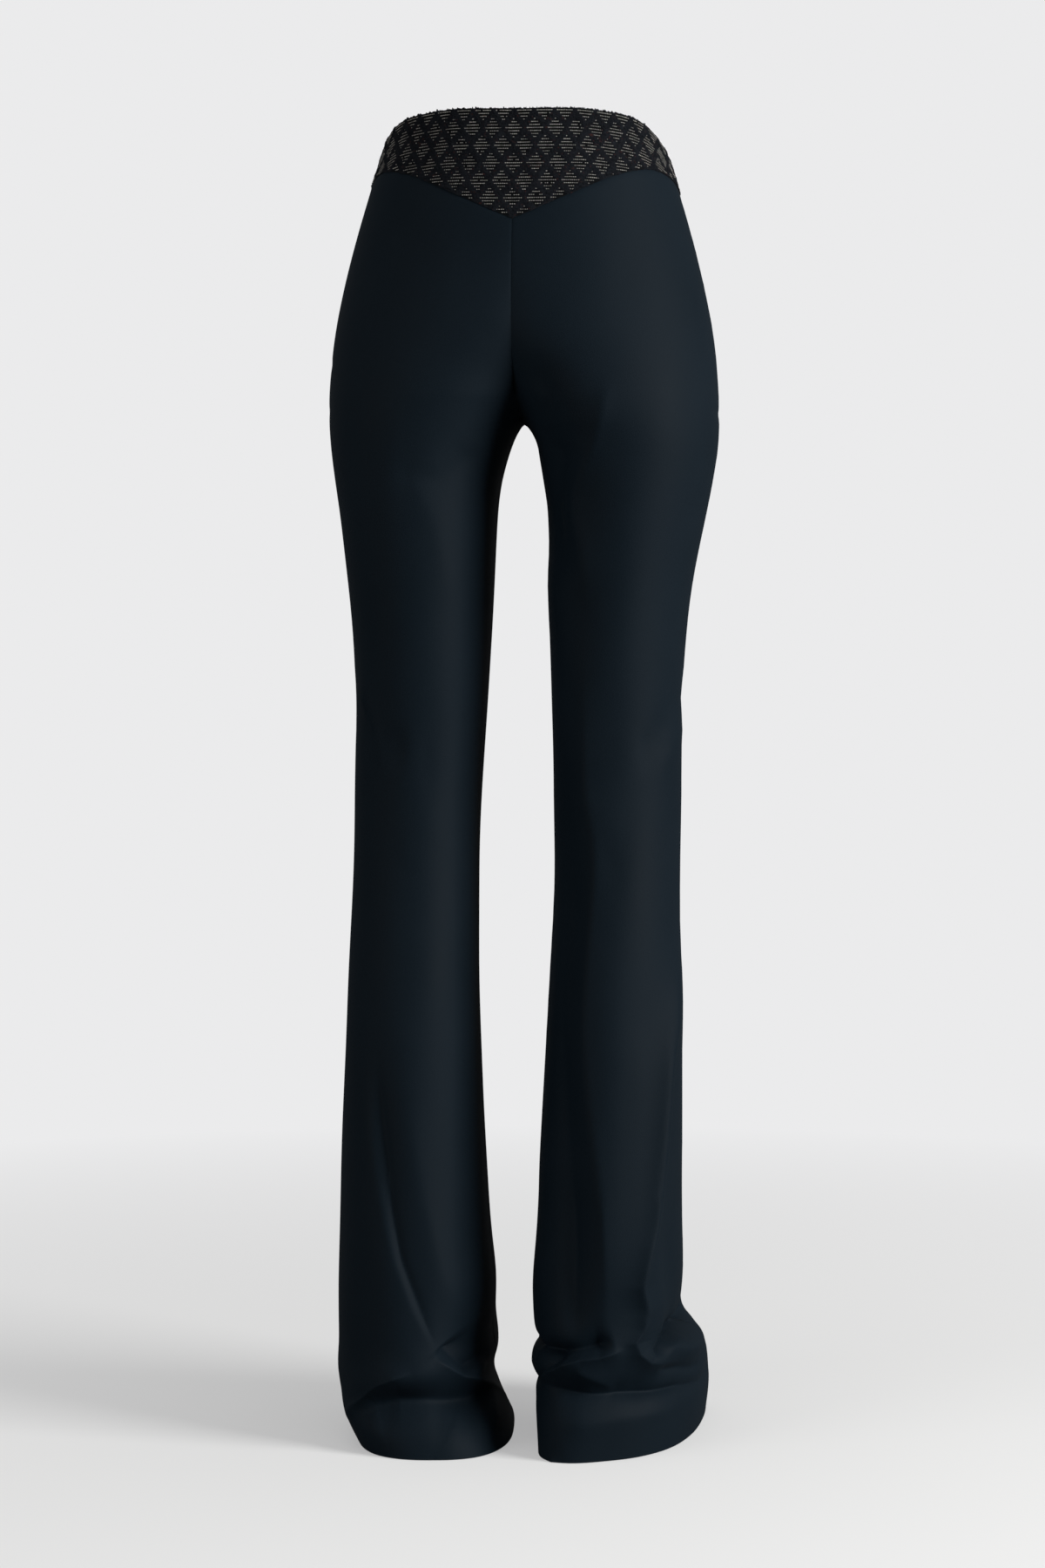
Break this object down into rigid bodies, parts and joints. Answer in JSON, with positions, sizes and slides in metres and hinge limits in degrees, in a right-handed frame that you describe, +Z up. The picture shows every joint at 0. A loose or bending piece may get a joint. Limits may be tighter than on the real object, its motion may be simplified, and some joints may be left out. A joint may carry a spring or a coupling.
{
  "type": "flared trousers",
  "caption": "Long flared trousers in their worn form, with a pointed back yoke in lattice tweed and plain crepe legs that break over the floor.",
  "frame": {"origin": "centre of the waist opening, half way up its slanting edge, where the wearer's waist holds the trousers up", "axes": "+Z up, -Y the wearer's front, +Y the back, +X the wearer's left; the hems rest on a floor at z = -1.103"},
  "size_m": [0.3312, 0.2706, 1.1281],
  "materials": {
    "crepe": "matt black crepe with a faint sheen",
    "tweed": "black boucle lattice over a ground with a silver-gold metallic weft"
  },
  "bodies": {
    "root": {"back_yoke": "tweed", "front_yoke": "tweed", "left_back_leg": "crepe", "left_front_leg": "crepe", "right_back_leg": "crepe", "right_front_leg": "crepe"}
  },
  "joints": []
}
